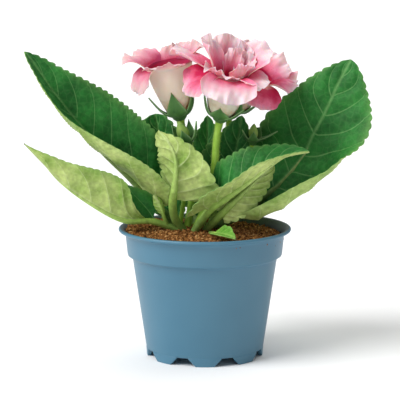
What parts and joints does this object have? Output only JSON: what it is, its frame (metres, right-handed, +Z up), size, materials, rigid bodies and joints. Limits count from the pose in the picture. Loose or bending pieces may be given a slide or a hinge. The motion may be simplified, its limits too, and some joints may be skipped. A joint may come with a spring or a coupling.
{
  "type": "potted gloxinia",
  "caption": "Potted gloxinia: pink bell flowers with ruffled petals over large velvety scalloped leaves, in a tapered blue moulded nursery pot filled with potting mix.",
  "frame": {"origin": "middle of the plant's outline in plan, on the surface the pot stands on", "axes": "+Z up, -Y towards the front of the plant, +X to the viewer's right seen from the front"},
  "size_m": [0.2568, 0.159, 0.2448],
  "materials": {
    "pot_plastic": "moulded slate-blue polypropylene, satin",
    "potting_mix": "loose fibrous peat and coir crumbs, matte",
    "tuber_skin": "rough brown tuber skin, matte",
    "leaf": "velvety dark green above, pale yellow-green below, fine hairs",
    "young_leaf": "soft young leaf, yellow-green, fine hairs",
    "petal": "soft pink petal, magenta towards the throat, paler ruffled edge",
    "bud": "closed green-white bud, downy",
    "sepal": "downy green sepals",
    "stalk": "fleshy bright green stalk with fine hairs"
  },
  "bodies": {
    "root": {"pot": "pot_plastic", "soil": "potting_mix", "tuber": "tuber_skin", "leaf_left_high": "leaf", "leaf_left_low": "leaf", "leaf_front_left": "leaf", "leaf_front_right": "leaf", "leaf_front_right_low": "leaf", "leaf_right_high": "leaf", "leaf_centre": "leaf", "leaf_right_centre": "leaf", "leaf_left_centre": "leaf", "leaf_rear_left": "leaf", "leaf_rear": "leaf", "leaf_rear_right": "leaf", "leaflet_rim": "young_leaf", "leaflet_curled": "young_leaf", "flower_front_corolla": "petal", "flower_front_inner_corolla": "petal", "flower_front_calyx": "sepal", "flower_left_corolla": "petal", "flower_left_calyx": "sepal", "flower_right_corolla": "petal", "flower_right_calyx": "sepal", "bud_left": "bud", "bud_left_calyx": "sepal", "bud_right": "bud", "bud_right_calyx": "sepal", "pedicel_front": "stalk", "pedicel_left": "stalk", "pedicel_right": "stalk", "pedicel_bud_left": "stalk", "pedicel_bud_right": "stalk"}
  },
  "joints": []
}
